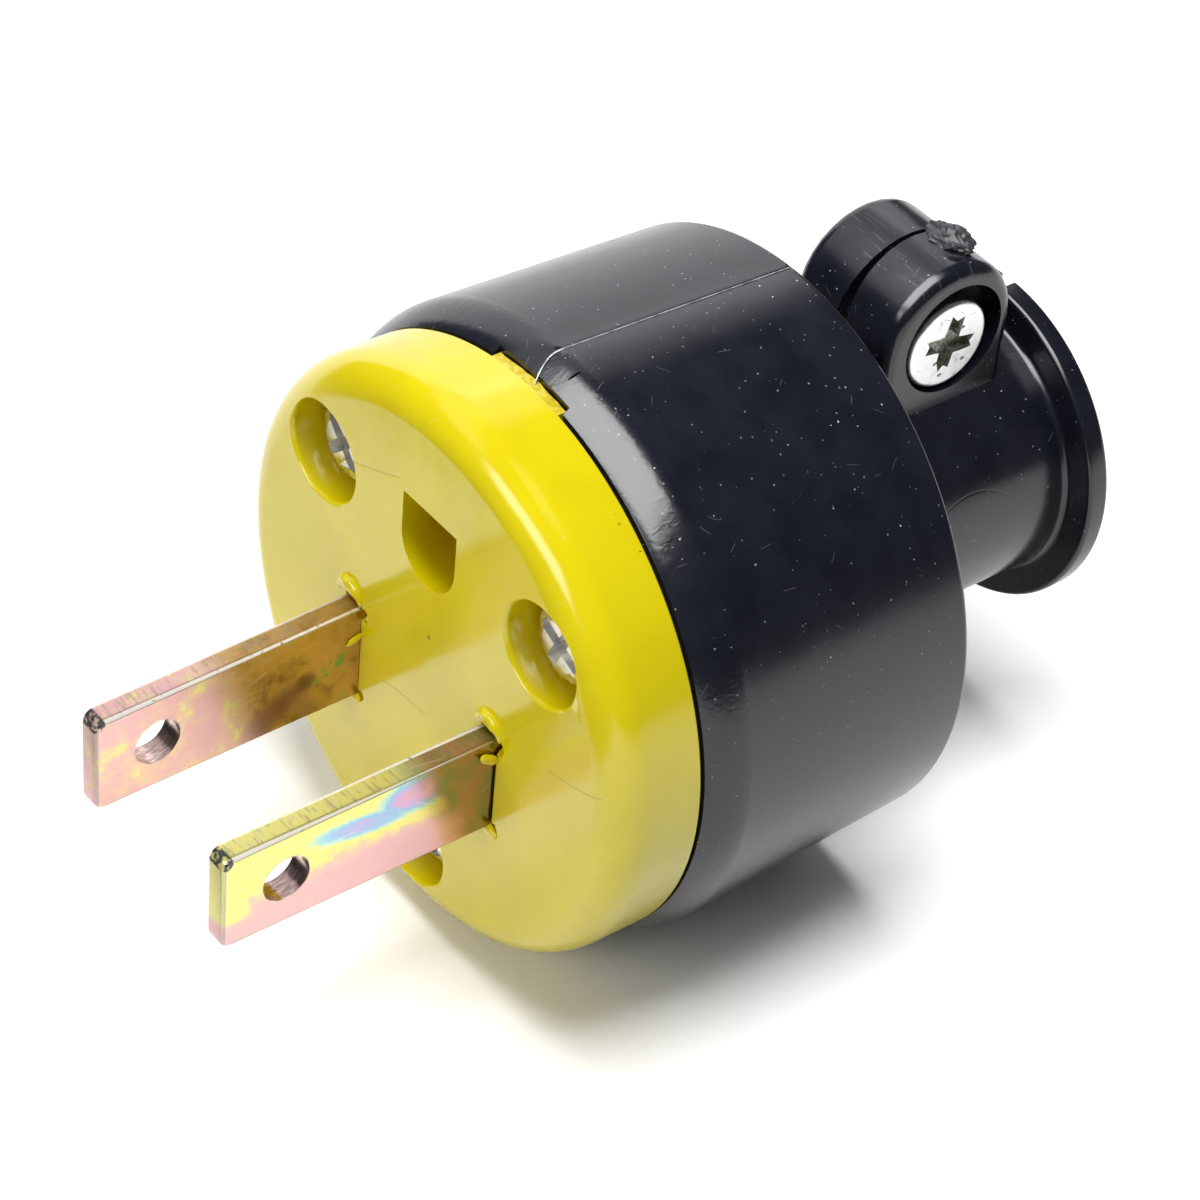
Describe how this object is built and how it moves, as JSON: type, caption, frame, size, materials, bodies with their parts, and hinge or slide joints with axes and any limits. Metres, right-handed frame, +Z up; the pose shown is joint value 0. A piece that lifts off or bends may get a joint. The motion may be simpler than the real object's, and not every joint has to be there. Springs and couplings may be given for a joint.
{
  "type": "two-pin flat plug",
  "caption": "Rewirable flat-blade mains plug: round yellow front cover, black shell and a split neck with a screw clamp that grips the cord.",
  "frame": {"origin": "centre of the bounding box in plan, on the surface that the plug lies on", "axes": "+Y along the plug's axis towards the cord, blades towards -Y; +X to the right seen from the blades' end; +Z up, through the clamp's ears"},
  "size_m": [0.0368, 0.0582, 0.0369],
  "materials": {
    "cover_yellow": "glossy moulded plastic",
    "shell_black": "smooth moulded plastic, slightly glossy",
    "blade_plating": "yellow chromate over zinc, iridescent",
    "zinc_plate": "bright zinc",
    "zinc_screw": "bright zinc",
    "insert_brass": "turned brass"
  },
  "bodies": {
    "root": {"face_cover": "cover_yellow", "body_shell": "shell_black", "blade_left": "blade_plating", "blade_right": "blade_plating", "wire_plate_left": "zinc_plate", "wire_plate_right": "zinc_plate", "terminal_screw_left": "zinc_screw", "terminal_screw_right": "zinc_screw", "cover_screw_upper_right": "zinc_screw", "cover_screw_upper_left": "zinc_screw", "cover_screw_lower": "zinc_screw", "insert_upper_right": "insert_brass", "insert_upper_left": "insert_brass", "insert_lower": "insert_brass", "clamp_screw": "zinc_screw", "clamp_nut": "zinc_screw"}
  },
  "joints": []
}
